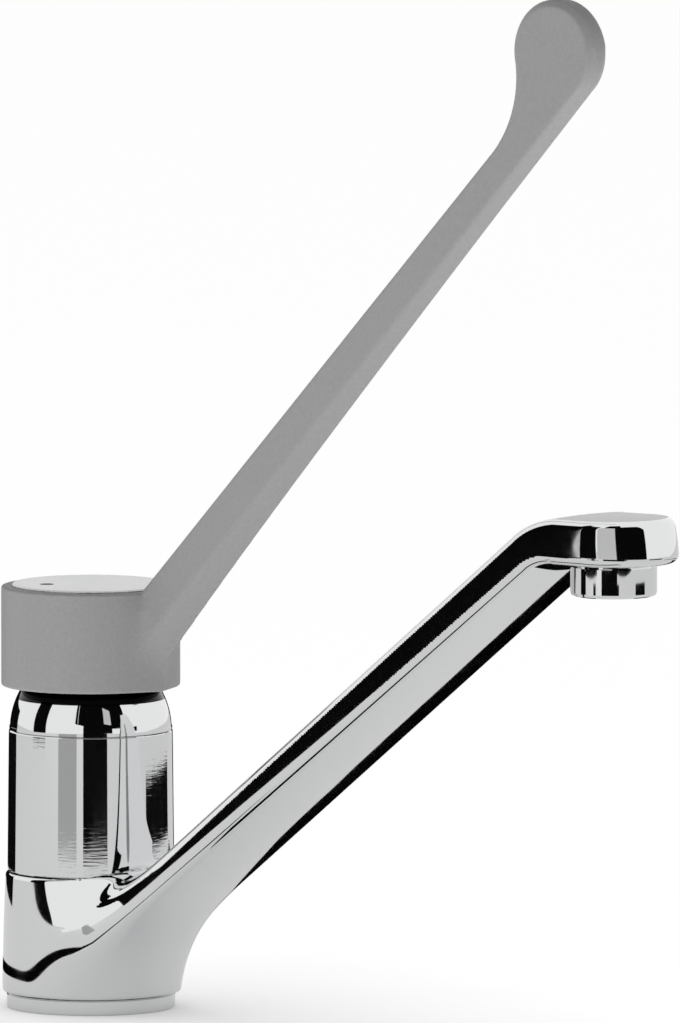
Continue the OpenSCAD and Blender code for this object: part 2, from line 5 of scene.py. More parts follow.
import bpy
import numpy as np
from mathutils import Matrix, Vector


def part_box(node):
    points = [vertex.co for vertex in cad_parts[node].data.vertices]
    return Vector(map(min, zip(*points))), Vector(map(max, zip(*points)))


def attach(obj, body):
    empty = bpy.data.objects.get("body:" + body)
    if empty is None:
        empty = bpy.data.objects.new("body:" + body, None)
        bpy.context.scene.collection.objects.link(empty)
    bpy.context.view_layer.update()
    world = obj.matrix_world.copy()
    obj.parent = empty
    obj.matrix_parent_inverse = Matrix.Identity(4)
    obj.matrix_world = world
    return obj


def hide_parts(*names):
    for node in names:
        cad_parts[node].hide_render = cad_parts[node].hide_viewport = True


bl_info = {
    "name": "Elbow lever tap",
    "version": (1, 0, 0),
    "blender": (4, 5, 0),
    "location": "View3D > Sidebar > Tap",
    "description": "Smooth forms, finishes and studio for a single-lever tap with an elbow lever",
    "category": "Object",
}

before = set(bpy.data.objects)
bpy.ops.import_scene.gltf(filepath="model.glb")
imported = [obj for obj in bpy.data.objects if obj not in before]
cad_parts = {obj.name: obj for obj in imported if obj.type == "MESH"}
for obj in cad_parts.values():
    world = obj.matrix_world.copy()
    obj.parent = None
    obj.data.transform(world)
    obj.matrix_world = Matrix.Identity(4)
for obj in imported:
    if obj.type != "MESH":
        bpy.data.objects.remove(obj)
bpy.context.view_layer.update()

MM = 0.001
RUN_GAP = 0.3 * MM
SPOUT_LOW, SPOUT_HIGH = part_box("spout")
LEVER_LOW, LEVER_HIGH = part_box("lever")
AERATOR_LOW, AERATOR_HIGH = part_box("aerator_housing")
CAP_LOW, CAP_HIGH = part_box("top_cap")
BODY_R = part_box("body")[1].x
SCREEN_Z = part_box("aerator_screen")[0].z
OUTLET_X = (AERATOR_LOW.x + AERATOR_HIGH.x) / 2


def length(name, description, default):
    """A size property in metres."""
    return bpy.props.FloatProperty(
        name=name, description=description, default=default, unit="LENGTH", precision=5
    )


def angle(name, description, degrees):
    """An angle property, written in degrees."""
    return bpy.props.FloatProperty(
        name=name, description=description, default=math.radians(degrees), unit="ROTATION"
    )


def colour(name, description, default):
    """A colour property in linear light."""
    return bpy.props.FloatVectorProperty(
        name=name, description=description, default=default, subtype="COLOR", size=3, min=0, max=1
    )


def share(name, description, default):
    """A plain number from 0 to 1."""
    return bpy.props.FloatProperty(
        name=name, description=description, default=default, min=0, max=1, subtype="FACTOR"
    )


def pixels(name, description, default):
    """A place or a size in pixels of the picture."""
    return bpy.props.FloatProperty(name=name, description=description, default=default, subtype="PIXEL")


class SpoutSizes(bpy.types.PropertyGroup):
    """Sizes of the cast swivel spout."""

    grid: length("Grid", "Spacing of the points that the skin is laid through", 0.62 * MM)
    ring_r: length("Ring radius", "Radius of the swivel ring low down", -SPOUT_LOW.x)
    ring_taper: length("Ring taper", "How much slimmer the ring is at its top", 0.9 * MM)
    ring_top: length("Ring top", "Height of the ring's top seam", 39.1 * MM)
    ring_bore: length("Ring bore", "Radius of the bore round the body's tail", 18.1 * MM)
    ring_edge: length("Ring edge", "Rounding of the ring's two edges", 0.9 * MM)
    rise_from: length("Rise height", "Height of the spout's middle line at the ring's front", 28.8 * MM)
    rise: angle("Rise", "Slope of the spout", 37)
    nose_rise: angle("Nose slope", "Slope of the nose", 1)
    nose_back: length("Nose length", "Outlet axis to the corner of the bend", 16.8 * MM)
    bend_r: length("Bend radius", "Radius of the bend", 22 * MM)
    half_w: length("Root half width", "Half width where the spout leaves the ring", 18 * MM)
    half_t: length("Root half thickness", "Half thickness where the spout leaves the ring", 5.3 * MM)
    thicken: length("Thickening", "Growth of the half thickness along the rise", 0.9 * MM)
    nose_half_w: length("Nose half width", "Half width of the nose and radius of its end", 16.6 * MM)
    nose_half_t: length("Nose half thickness", "Half thickness of the nose", 7.1 * MM)
    nose_in: length("Nose set-back", "How far the nose's end stays inside the solid's end", 2.2 * MM)
    rake: angle("Front rake", "Lean of the nose's front", 4)
    draft: angle("Draft", "Lean of the sides, which narrows the spout upwards", 3)
    edge: length("Edge", "Rounding of the long edges", 2 * MM)
    crown: length("Crown", "How far the sides and the top swell in their middle", 0.5 * MM)
    belly: length("Belly", "How far the underside swells in its middle", 1.3 * MM)
    blend: length("Blend", "Width of the flow from the ring into the spout", 24 * MM)
    root_in: length("Root depth", "Depth inside the ring at which the root starts to narrow", 8 * MM)
    root_fade: length("Root fade", "Length that sets how slowly the root narrows there", 40 * MM)
    bore_top: length("Bore top", "Height up to which the ring is bored", 44 * MM)
    neck_h: length("Outlet neck", "Height of the aerator's threaded neck", 5 * MM)
    neck_step: length("Neck step", "How much slimmer that neck is than the housing below it", 1.6 * MM)
    neck_room: length("Neck room", "Room over that neck", 1.5 * MM)


class LeverSizes(bpy.types.PropertyGroup):
    """Sizes of the grey lever."""

    grid: length("Grid", "Spacing of the points that the skin is laid through", 0.6 * MM)
    collar_r: length("Collar radius", "Outer radius of the collar", LEVER_HIGH.y)
    collar_top: length("Collar top", "Height of the collar's top edge", 121.4 * MM)
    collar_edge: length("Collar edge", "Rounding of the collar's edges", 0.7 * MM)
    collar_wall: length("Collar wall", "Wall of the collar", 3.05 * MM)
    prow: length("Prow", "How far the front edge stands out under the arm", 2.4 * MM)
    arm_set: length("Arm set", "How far the arm's back starts inside the collar's rim", 1.15 * MM)
    back_rise: angle("Back slope", "Slope of the arm's back", 45.4)
    side_h: length("Side height", "Height of the arm's side face at the collar", 11 * MM)
    keel: length("Ridge", "Depth of the ridge under the arm", 3.2 * MM)
    keel_drop: length("Ridge drop", "Extra depth of the ridge where it meets the collar", 4.5 * MM)
    keel_run: length("Ridge run", "Length over which that extra depth fades", 40 * MM)
    half_root: length("Root half thickness", "Half thickness of the arm at the collar", 5.8 * MM)
    half_tip: length("Tip half thickness", "Half thickness of the arm at the paddle", 4 * MM)
    paddle_r: length("Paddle radius", "Radius of the paddle", 15.3 * MM)
    paddle_bevel: length("Paddle bevel", "Bevel of the paddle's rim", 1.7 * MM)
    neck_r: length("Neck radius", "Radius of the hollow between arm and paddle", 30 * MM)
    crease: length("Crease", "Rounding of the arm's creases", 1.3 * MM)
    blend: length("Blend", "Width of the flow from the collar into the arm", 5 * MM)
    disc_gap: length("Disc gap", "Gap round the disc in the collar's top", 0.15 * MM)
    disc_drop: length("Disc drop", "Gap under that disc", 0.05 * MM)
    disc_over: length("Disc cut", "Height of the cut above the disc's seat", 9 * MM)
    web: length("Web", "Thickness of the web under the disc", 3.5 * MM)
    boss_r: length("Boss radius", "Radius of the boss round the stem", 9 * MM)
    boss_h: length("Boss height", "Disc's seat to the foot of that boss", 16 * MM)
    boss_under: length("Boss cut", "Depth of the hollow below the boss", 14 * MM)


class ScreenSizes(bpy.types.PropertyGroup):
    """Sizes of the lips round the outlet screen's holes."""

    rings: bpy.props.IntProperty(
        name="Rings", description="Rings of holes round the middle one", default=3, min=1
    )
    outer_r: length("Outer ring", "Radius of the outermost ring of holes", 7.1 * MM)
    hole_r: length("Hole radius", "Radius of one hole", 0.9 * MM)
    lip: length("Lip", "Half thickness of a hole's pressed lip", 0.14 * MM)


class Finishes(bpy.types.PropertyGroup):
    """Colours and roughness of the tap."""

    chrome: colour("Chrome", "Colour of the chrome plate", (0.76, 0.765, 0.77))
    chrome_rough: share("Chrome roughness", "Roughness of the chrome plate", 0.035)
    satin: colour("Satin chrome", "Colour of the disc on the lever", (0.64, 0.645, 0.65))
    satin_rough: share("Satin roughness", "Roughness of the disc on the lever", 0.24)
    grey: colour("Lever grey", "Colour of the lever", (0.372, 0.366, 0.366))
    grey_rough: share("Lever roughness", "Roughness of the lever", 0.52)
    dot: colour("Dot", "Colour of the index dot", (0.035, 0.035, 0.04))


class Studio(bpy.types.PropertyGroup):
    """Camera and light."""

    azimuth: angle("Azimuth", "Camera's angle round the tap", 42)
    elevation: angle("Elevation", "Camera's angle above the worktop", 6)
    distance: length("Distance", "Distance from the camera to the tap", 9.0)
    pixel: length("Pixel", "Size of one pixel of the picture at the body axis", 0.2868 * MM)
    origin_x: pixels("Origin column", "Column of the body axis", 91)
    origin_y: pixels("Origin row", "Row of the origin", 1006)
    picture_w: pixels("Picture width", "Columns in the picture", 680)
    picture_h: pixels("Picture height", "Rows in the picture", 1023)
    fill: share("Fill light", "Strength of the light from all round", 0.26)


def clamp(value, low, high):
    """The value kept between two limits."""
    return np.minimum(np.maximum(value, low), high)


def round_box(a, b, half_a, half_b, edge):
    """Distance to a rectangle with rounded corners."""
    out_a = np.abs(a) - half_a + edge
    out_b = np.abs(b) - half_b + edge
    outside = np.hypot(np.maximum(out_a, 0), np.maximum(out_b, 0))
    return outside + np.minimum(np.maximum(out_a, out_b), 0) - edge


def soft_min(a, b, width):
    """The lower of two fields, with a fillet of about that width where they meet."""
    overlap = np.maximum(width - np.abs(a - b), 0) / width
    return np.minimum(a, b) - overlap**3 * width / 6


def soft_max(a, b, width):
    """The higher of two fields, with the edge rounded over about that width."""
    return -soft_min(-a, -b, width)


# End of the spout's root inside the ring, in ring radii
ROOT_END = 1.2


class SpoutForm:
    """Distance field of the swivel ring, the rise, the bend and the nose."""

    def __init__(self, sizes):
        """Works out where the rise, the bend and the nose start."""
        self.s = sizes
        self.low = SPOUT_LOW.z
        self.start = np.array([sizes.ring_r - RUN_GAP, sizes.rise_from])
        self.along = np.array([math.cos(sizes.rise), math.sin(sizes.rise)])
        corner_x = OUTLET_X - sizes.nose_back
        corner = np.array([corner_x, sizes.rise_from + math.tan(sizes.rise) * (corner_x - self.start[0])])
        cut = sizes.bend_r * math.tan((sizes.rise - sizes.nose_rise) / 2)
        bend_from = corner - cut * self.along
        self.nose_along = np.array([math.cos(sizes.nose_rise), math.sin(sizes.nose_rise)])
        self.nose_from = corner + cut * self.nose_along
        self.bend_c = bend_from + sizes.bend_r * np.array([self.along[1], -self.along[0]])
        self.rise_run = float((bend_from - self.start) @ self.along)
        self.outlet_run = float((OUTLET_X - self.nose_from[0]) / self.nose_along[0])
        foot = sizes.nose_half_t * (math.tan(sizes.rake) + math.tan(sizes.draft)) / 2
        end_x = SPOUT_HIGH.x - sizes.nose_in - foot - sizes.nose_half_w
        self.end_run = float((end_x - self.nose_from[0]) / self.nose_along[0])

    def ring(self, p):
        """Distance to the swivel ring, slimmer towards its top."""
        s = self.s
        share_up = clamp((p[:, 2] - self.low) / (s.ring_top - self.low), 0, 1)
        radius = s.ring_r - s.ring_taper * share_up * share_up
        middle, half = (s.ring_top + self.low) / 2, (s.ring_top - self.low) / 2
        return round_box(np.hypot(p[:, 0], p[:, 1]), p[:, 2] - middle, radius, half, s.ring_edge)

    def arm(self, p):
        """Distance to the spout beyond the ring, section by section along its line."""
        s = self.s
        flat = p[:, [0, 2]]
        from_start = flat - self.start
        run = from_start @ self.along
        height = from_start @ np.array([-self.along[1], self.along[0]])
        from_nose = flat - self.nose_from
        nose_run = from_nose @ self.nose_along
        nose_height = from_nose @ np.array([-self.nose_along[1], self.nose_along[0]])
        from_c = flat - self.bend_c
        bend_height = np.hypot(from_c[:, 0], from_c[:, 1]) - s.bend_r
        bend_share = (s.rise - np.arctan2(-from_c[:, 0], from_c[:, 1])) / (s.rise - s.nose_rise)
        on_nose = nose_run >= 0
        on_bend = (run > self.rise_run) & ~on_nose
        along_bend = np.where(on_nose, 1, np.where(on_bend, clamp(bend_share, 0, 1), 0))
        h = np.where(on_nose, nose_height, np.where(on_bend, bend_height, height))
        up = clamp(run / self.rise_run, 0, 1)
        rise_t = s.half_t + s.thicken * up
        inside = np.maximum(-run - s.root_in, 0)
        rise_w = s.half_w + (s.nose_half_w - s.half_w) * up - inside * inside / s.root_fade
        half_t = rise_t + (s.nose_half_t - rise_t) * along_bend
        half_w = rise_w + (s.nose_half_w - rise_w) * along_bend
        lean = math.tan(s.rake) * clamp((nose_run - self.outlet_run) / s.nose_half_w, 0, 1)
        past = np.where(on_nose, np.maximum(nose_run + h * lean - self.end_run, 0), 0)
        w = np.hypot(p[:, 1], past)
        back = -(run + s.ring_r * ROOT_END)
        half_w = np.maximum(half_w, s.edge)
        swell_t = np.where(h < 0, s.belly, s.crown) * clamp(w / half_w, 0, 1) ** 2
        swell_w = s.crown * clamp(np.abs(h) / half_t, 0, 1) ** 2
        half_w = half_w - swell_w - h * math.tan(s.draft)
        return np.maximum(round_box(h, w, half_t - swell_t, half_w, s.edge), back)

    def __call__(self, p):
        """Distance to the whole casting, with room left for the barrel above the ring."""
        s = self.s
        whole = soft_min(self.ring(p), self.arm(p), s.blend)
        barrel = np.maximum(np.hypot(p[:, 0], p[:, 1]) - BODY_R - RUN_GAP, s.ring_top - p[:, 2])
        return np.maximum(np.maximum(whole, -barrel), self.low - p[:, 2])


def touch_angle(start, centre, radius):
    """Slope of the line from a point that touches a circle on its right-hand side."""
    v = centre - start
    return math.atan2(v[1], v[0]) - math.asin(radius / math.hypot(v[0], v[1]))


# Cosine off the ridge's direction from which the paddle's bevel widens
RIDGE_NEAR = 0.6

# Share of the collar's blend that is left at its top edge
TOP_BLEND = 0.08


class LeverForm:
    """Distance field of the collar, the ridged arm and the paddle."""

    def __init__(self, sizes):
        """Works out the arm's slopes and where the neck touches the arm and the paddle."""
        s = self.s = sizes
        self.low = LEVER_LOW.z
        self.root = np.array([s.collar_r - s.arm_set, s.collar_top])
        self.paddle = np.array([LEVER_HIGH.x - s.paddle_r, LEVER_HIGH.z - s.paddle_r])
        self.along = np.array([math.cos(s.back_rise), math.sin(s.back_rise)])
        self.up = np.array([-self.along[1], self.along[0]])
        under = -self.up
        self.side_root = self.root + s.side_h * under
        self.keel_root = self.side_root + s.keel * under
        self.side_slope = math.tan(touch_angle(self.side_root, self.paddle, s.paddle_r - s.paddle_bevel))
        self.keel_slope = math.tan(touch_angle(self.keel_root, self.paddle, s.paddle_r))
        rise = float((self.paddle - self.root) @ self.up)
        self.reach = float((self.paddle - self.root) @ self.along)
        self.touch_run = self.reach - math.sqrt((s.paddle_r + s.neck_r) ** 2 - (s.neck_r - rise) ** 2)
        self.back_touch = self.root + self.along * self.touch_run
        self.neck = self.back_touch + self.up * s.neck_r
        to_neck = (self.neck - self.paddle) / np.linalg.norm(self.neck - self.paddle)
        self.paddle_touch = self.paddle + s.paddle_r * to_neck
        self.neck_run = float((self.paddle_touch - self.back_touch) @ self.along)
        self.tip = s.collar_r + s.prow
        steep = math.atan(self.keel_slope)
        self.ridge_way = np.array([math.sin(steep), -math.cos(steep)])

    def collar(self, p):
        """Distance to the collar with its blunt front edge."""
        s = self.s
        middle, half = (s.collar_top + self.low) / 2, (s.collar_top - self.low) / 2
        turn = math.acos(s.collar_r / self.tip)
        wedge = p[:, 0] * math.cos(turn) + np.abs(p[:, 1]) * math.sin(turn)
        on_wedge = p[:, 0] * math.sin(turn) > np.abs(p[:, 1]) * math.cos(turn)
        across = np.where(on_wedge, wedge, np.hypot(p[:, 0], p[:, 1]))
        return round_box(np.maximum(across, 0), p[:, 2] - middle, s.collar_r, half, s.collar_edge)

    def arm(self, p):
        """Distance to the arm: its back with the hollow neck, its sides and its ridged underside."""
        s = self.s
        flat = p[:, [0, 2]]
        from_root = flat - self.root
        run, above = from_root @ self.along, from_root @ self.up
        chord = self.paddle_touch - self.back_touch
        chord = chord / np.linalg.norm(chord)
        over_chord = (flat - self.back_touch) @ np.array([-chord[1], chord[0]])
        spoke = (self.paddle - self.paddle_touch) / s.paddle_r
        past_spoke = (flat - self.paddle) @ np.array([-spoke[1], spoke[0]])
        fill = np.maximum(np.maximum(self.touch_run - run, over_chord), past_spoke)
        neck = s.neck_r - np.linalg.norm(flat - self.neck, axis=1)
        back = np.maximum(np.minimum(above, fill), neck)
        x = flat[:, 0]
        along_arm = clamp((x - s.collar_r) / (self.back_touch[0] - s.collar_r), 0, 1)
        half = s.half_root + (s.half_tip - s.half_root) * along_arm
        side_z = self.side_root[1] + self.side_slope * (x - self.side_root[0])
        drop = s.keel_drop * np.exp(-np.maximum(x - self.tip, 0) / s.keel_run)
        keel_z = self.keel_root[1] + self.keel_slope * (x - self.keel_root[0]) - drop
        steep = np.sqrt(1 + self.keel_slope**2 + ((side_z - keel_z) / half) ** 2)
        under = (keel_z + (side_z - keel_z) * np.abs(p[:, 1]) / half - flat[:, 1]) / steep
        sides = np.abs(p[:, 1]) - half
        up_neck = clamp((run - self.touch_run) / self.neck_run, 0, 1)
        slant = (back + sides + s.paddle_bevel * up_neck) / math.sqrt(2)
        shape = soft_max(soft_max(back, sides, s.crease), slant, s.crease / 2)
        shape = soft_max(shape, under, s.crease)
        inside = s.collar_r - 2 * s.collar_wall - x
        return np.maximum(np.maximum(shape, run - self.reach), inside)

    def blade(self, p):
        """Distance to the paddle, a disc whose bevel widens into the arm's ridge."""
        s = self.s
        spoke = p[:, [0, 2]] - self.paddle
        radius = np.maximum(np.linalg.norm(spoke, axis=1), MM)
        rim = radius - s.paddle_r
        face = np.abs(p[:, 1]) - s.half_tip
        near_ridge = clamp((spoke @ self.ridge_way / radius - RIDGE_NEAR) / (1 - RIDGE_NEAR), 0, 1)
        width = s.paddle_bevel + (s.half_tip - s.paddle_bevel) * near_ridge
        slant = (rim * width + (face + width) * s.paddle_bevel) / np.hypot(width, s.paddle_bevel)
        return soft_max(soft_max(rim, face, s.crease / 2), slant, s.crease / 2)

    def __call__(self, p):
        """Distance to the whole lever before its hollows are cut."""
        s = self.s
        arm = np.minimum(self.arm(p), self.blade(p))
        below_top = clamp((s.collar_top - p[:, 2]) / s.blend, TOP_BLEND, 1)
        whole = soft_min(self.collar(p), arm, s.blend * below_top)
        return np.maximum(whole, self.low - p[:, 2])


def surface_net(field, low, high, step):
    """Points and quads of a field's skin: one point in each grid cell that the skin crosses."""
    margin = 2 * step
    axes = [np.arange(low[i] - margin, high[i] + margin, step) for i in range(3)]
    values = np.empty([len(axis) for axis in axes], np.float32)
    plane = np.stack(np.meshgrid(axes[1], axes[2], indexing="ij"), -1).reshape(-1, 2)
    for i, x in enumerate(axes[0]):
        points = np.column_stack([np.full(len(plane), x), plane])
        values[i] = field(points).reshape(values.shape[1:])
    inside = values < 0
    cells = np.array(inside.shape) - 1
    corners = sum(
        inside[a : a + cells[0], b : b + cells[1], c : c + cells[2]].astype(np.uint8)
        for a in (0, 1)
        for b in (0, 1)
        for c in (0, 1)
    )
    crossed = (corners > 0) & (corners < 8)
    number = np.full(crossed.shape, -1, np.int64)
    number[crossed] = np.arange(crossed.sum())
    start = np.array([axis[0] for axis in axes])
    points = start + (np.argwhere(crossed) + 0.5) * step
    quads = []
    for axis, (u, v) in enumerate(((1, 2), (2, 0), (0, 1))):
        near = np.moveaxis(inside, axis, 0)[:-1]
        far = np.moveaxis(inside, axis, 0)[1:]
        places = np.argwhere(np.moveaxis(near != far, 0, axis))
        step_u, step_v = np.eye(3, dtype=int)[[u, v]]
        ring = [places - step_u - step_v, places - step_v, places, places - step_u]
        quad = np.stack([number[tuple(cell.T)] for cell in ring], 1)
        outward = inside[tuple(places.T)]
        quads.append(np.where(outward[:, None], quad, quad[:, ::-1]))
    return points, np.concatenate(quads)


# Distance to a skin within which a point counts as on it, and the step for a field's slope
SKIN_NEAR = 0.01 * MM


def slope_of(field, points):
    """Gradient of a field at points."""
    slope = np.empty_like(points)
    for axis in range(3):
        offset = np.zeros(3)
        offset[axis] = SKIN_NEAR
        slope[:, axis] = (field(points + offset) - field(points - offset)) / (2 * SKIN_NEAR)
    return slope


def settle(field, points, rounds=5, least_steep=0.05):
    """Points moved on to the field's skin."""
    for _ in range(rounds):
        slope = slope_of(field, points)
        steep = np.maximum((slope * slope).sum(1), least_steep)
        points = points - slope * (field(points) / steep)[:, None]
    return points


def smooth(mesh):
    """Makes each face of a mesh smooth."""
    mesh.polygons.foreach_set("use_smooth", [True] * len(mesh.polygons))


def mesh_of(name, points, faces):
    """A mesh with smooth faces."""
    mesh = bpy.data.meshes.new(name)
    mesh.from_pydata([tuple(p) for p in points], [], [tuple(int(i) for i in f) for f in faces])
    smooth(mesh)
    mesh.update()
    return mesh


def lathe(name, profile, centre=(0.0, 0.0), steps=128):
    """A closed mesh turned about an upright axis from a closed outline of (radius, height)."""
    turns = np.linspace(0, 2 * math.pi, steps, endpoint=False)
    count = len(profile)
    points = [
        (centre[0] + r * math.cos(t), centre[1] + r * math.sin(t), z) for t in turns for r, z in profile
    ]
    faces = []
    for i in range(steps):
        j = (i + 1) % steps
        for k in range(count):
            m = (k + 1) % count
            faces.append((i * count + k, j * count + k, j * count + m, i * count + m))
    return mesh_of(name, points, faces)


def plug(name, outline, centre=(0.0, 0.0)):
    """A closed turned mesh whose outline starts and ends on the axis, used to cut hollows."""
    tiny = 0.001 * MM
    profile = [(max(r, tiny), z) for r, z in outline]
    return lathe(name, profile, centre)


def drum(name, radius, low, high):
    """A plain round plug on the body's axis."""
    return plug(name, [(0, low), (radius, low), (radius, high), (0, high)])


def link(name, mesh):
    """An object in the scene at the origin."""
    made = bpy.data.objects.new(name, mesh)
    bpy.context.scene.collection.objects.link(made)
    return made


def plain_mesh(made):
    """The evaluated mesh of an object, with its modifiers taken in."""
    graph = bpy.context.evaluated_depsgraph_get()
    return bpy.data.meshes.new_from_object(made.evaluated_get(graph))


def cut_hollows(mesh, cutters):
    """The mesh less its cutters."""
    made = link("uncut", mesh)
    tools = []
    for cutter in cutters:
        tool = link("cutter", cutter)
        modifier = made.modifiers.new("hollow", "BOOLEAN")
        modifier.operation = "DIFFERENCE"
        modifier.solver = "MANIFOLD"
        modifier.object = tool
        tools.append(tool)
    result = plain_mesh(made)
    for item in [made, *tools]:
        bpy.data.objects.remove(item)
    return result


def values_of(items, key, kind=float, width=1):
    """One value, or a row of that width, of every item."""
    values = np.empty((len(items), width), kind)
    items.foreach_get(key, values.ravel())
    return values


def true_normals(mesh, field, same_way=0.6):
    """Normals taken from the field on its skin, and from the faces in the hollows."""
    points = values_of(mesh.vertices, "co", width=3)
    slope = slope_of(field, points)
    slope /= np.maximum(np.linalg.norm(slope, axis=1), 1e-9)[:, None]
    on_skin = np.abs(field(points)) < SKIN_NEAR
    face_normals = values_of(mesh.polygons, "normal", width=3)
    corner_point = values_of(mesh.loops, "vertex_index", int)[:, 0]
    sides = values_of(mesh.polygons, "loop_total", int)[:, 0]
    corner_face = face_normals[np.repeat(np.arange(len(sides)), sides)]
    corner_skin = slope[corner_point]
    facing = (corner_face * corner_skin).sum(1) > same_way
    chosen = np.where((on_skin[corner_point] & facing)[:, None], corner_skin, corner_face)
    smooth(mesh)
    mesh.normals_split_custom_set([tuple(n) for n in chosen])
    mesh.update()


def mould(name, form, low, high, cutters):
    step = form.s.grid * 1
    points, quads = surface_net(form, low, high, step)
    mesh = cut_hollows(mesh_of(name, settle(form, points), quads), cutters)
    true_normals(mesh, form)
    return mesh


# Range of a noise value that is spread over a whole effect
NOISE_LOW, NOISE_HIGH = 0.3, 0.7


class Shader:
    """Short calls for building one node material."""

    def __init__(self, name, base, metallic=0.0, roughness=0.5):
        """Starts a material with one colour and one roughness."""
        self.material = bpy.data.materials.new(name)
        self.material.use_nodes = True
        self.nodes = self.material.node_tree.nodes
        self.links = self.material.node_tree.links
        self.surface = self.nodes["Principled BSDF"]
        self.set("Base Color", (*base, 1))
        self.set("Metallic", metallic)
        self.set("Roughness", roughness)
        self.place = self.add("ShaderNodeTexCoord").outputs["Object"]

    def add(self, kind, **settings):
        """A new node with its settings."""
        node = self.nodes.new(kind)
        for key, value in settings.items():
            setattr(node, key, value)
        return node

    def set(self, socket, value):
        """One value for the whole surface."""
        self.surface.inputs[socket].default_value = value

    def noise(self, scale, detail=3.0, stretch=(1, 1, 1)):
        """Noise in object space, with that many waves in a metre."""
        mapping = self.add("ShaderNodeMapping")
        mapping.inputs["Scale"].default_value = stretch
        self.links.new(self.place, mapping.inputs["Vector"])
        node = self.add("ShaderNodeTexNoise")
        node.inputs["Scale"].default_value = scale
        node.inputs["Detail"].default_value = detail
        self.links.new(mapping.outputs["Vector"], node.inputs["Vector"])
        return node.outputs["Fac"]

    def spread(self, value, low, high):
        """A noise value mapped to a range."""
        node = self.add("ShaderNodeMapRange")
        node.inputs["From Min"].default_value = NOISE_LOW
        node.inputs["From Max"].default_value = NOISE_HIGH
        node.inputs["To Min"].default_value = low
        node.inputs["To Max"].default_value = high
        self.links.new(value, node.inputs["Value"])
        return node.outputs["Result"]

    def roughness(self, value, low, high):
        """Roughness that goes from low to high with a noise value."""
        self.links.new(self.spread(value, low, high), self.surface.inputs["Roughness"])

    def tint(self, value, base, low, high):
        """The base colour, darker or lighter with a noise value."""
        ramp = self.add("ShaderNodeValToRGB")
        ramp.color_ramp.elements[0].position = NOISE_LOW
        ramp.color_ramp.elements[1].position = NOISE_HIGH
        ramp.color_ramp.elements[0].color = (*[c * low for c in base], 1)
        ramp.color_ramp.elements[1].color = (*[c * high for c in base], 1)
        self.links.new(value, ramp.inputs["Fac"])
        self.links.new(ramp.outputs["Color"], self.surface.inputs["Base Color"])

    def bump(self, *layers):
        """Bump layers of (height value, depth in metres), one on the other."""
        normal = None
        for height, depth in layers:
            node = self.add("ShaderNodeBump")
            node.inputs["Distance"].default_value = depth
            self.links.new(height, node.inputs["Height"])
            if normal:
                self.links.new(normal, node.inputs["Normal"])
            normal = node.outputs["Normal"]
        self.links.new(normal, self.surface.inputs["Normal"])


def plated(name, finishes, waves=260, stretch=(1, 1, 0.12)):
    """Polished chrome plate with faint wiping marks."""
    rough = finishes.chrome_rough
    shader = Shader(name, finishes.chrome, 1.0, rough)
    shader.roughness(shader.noise(waves, 4, stretch), rough * 0.6, rough * 1.5)
    return shader


def turned_chrome(finishes):
    """Chrome plate over turned brass, whose fine lathe rings draw reflections out up and down."""
    shader = plated("chrome plate on turned brass", finishes)
    shader.bump((shader.noise(140, 2, (1, 1, 12)), 0.005 * MM))
    return shader.material


def dome_chrome(finishes):
    """Chrome plate with a black band painted round its top, under the lever: a painted dark reflection
    that stands in for the lever's shadowed underside mirrored in the dome.
    """
    # Painted dark reflection: above this height the dome is coloured black, in place of the lever's
    # shadowed underside mirrored in the chrome
    painted_reflection_low = LEVER_LOW.z - 3.7 * MM
    painted_reflection_black = (0.008, 0.008, 0.008, 1)
    shader = plated("chrome plate with painted dark reflection", finishes)
    height = shader.add("ShaderNodeSeparateXYZ")
    shader.links.new(shader.place, height.inputs["Vector"])
    above = shader.add("ShaderNodeMath", operation="GREATER_THAN")
    shader.links.new(height.outputs["Z"], above.inputs[0])
    above.inputs[1].default_value = painted_reflection_low
    ramp = shader.add("ShaderNodeValToRGB")
    ramp.color_ramp.elements[0].color = (*finishes.chrome, 1)
    ramp.color_ramp.elements[1].color = painted_reflection_black
    shader.links.new(above.outputs["Value"], ramp.inputs["Fac"])
    shader.links.new(ramp.outputs["Color"], shader.surface.inputs["Base Color"])
    return shader.material


def cast_chrome(finishes):
    """Chrome plate over a polished casting, which leaves slow waves in it."""
    shader = plated("chrome plate on casting", finishes, 240, (1, 0.3, 1))
    shader.bump((shader.noise(45, 1), 0.05 * MM))
    return shader.material


def satin_chrome(finishes):
    """Satin chrome of the lever's disc, with turned rings so fine that they only soften it."""
    shader = Shader("satin chrome", finishes.satin, 0.6, finishes.satin_rough)
    ring = shader.add("ShaderNodeTexWave", wave_type="RINGS", rings_direction="Z")
    ring.inputs["Scale"].default_value = 900
    ring.inputs["Distortion"].default_value = 2.0
    ring.inputs["Detail"].default_value = 2.0
    shader.links.new(shader.place, ring.inputs["Vector"])
    shader.roughness(ring.outputs["Fac"], finishes.satin_rough * 0.8, finishes.satin_rough * 1.2)
    shader.bump((ring.outputs["Fac"], 0.004 * MM), (shader.noise(500, 3), 0.01 * MM))
    return shader.material


def lever_grey(finishes):
    """Moulded grey with a fine matte grain."""
    shader = Shader("lever grey", finishes.grey, 0.0, finishes.grey_rough)
    grain = shader.noise(1800, 2)
    shader.tint(shader.noise(1100, 3), finishes.grey, 0.95, 1.05)
    shader.roughness(grain, finishes.grey_rough - 0.06, finishes.grey_rough + 0.08)
    shader.set("Specular IOR Level", 0.4)
    shader.bump((grain, 0.03 * MM))
    return shader.material


def moulded(name, base, roughness, waves=700, shine=0.5):
    """Moulded plastic or rubber with a faint flow and a fine grain."""
    shader = Shader(name, base, 0.0, roughness)
    shader.set("Specular IOR Level", shine)
    shader.tint(shader.noise(60, 3), base, 0.92, 1.06)
    grain = shader.noise(waves, 3)
    shader.roughness(grain, roughness - 0.07, roughness + 0.07)
    shader.bump((grain, 0.02 * MM))
    return shader.material


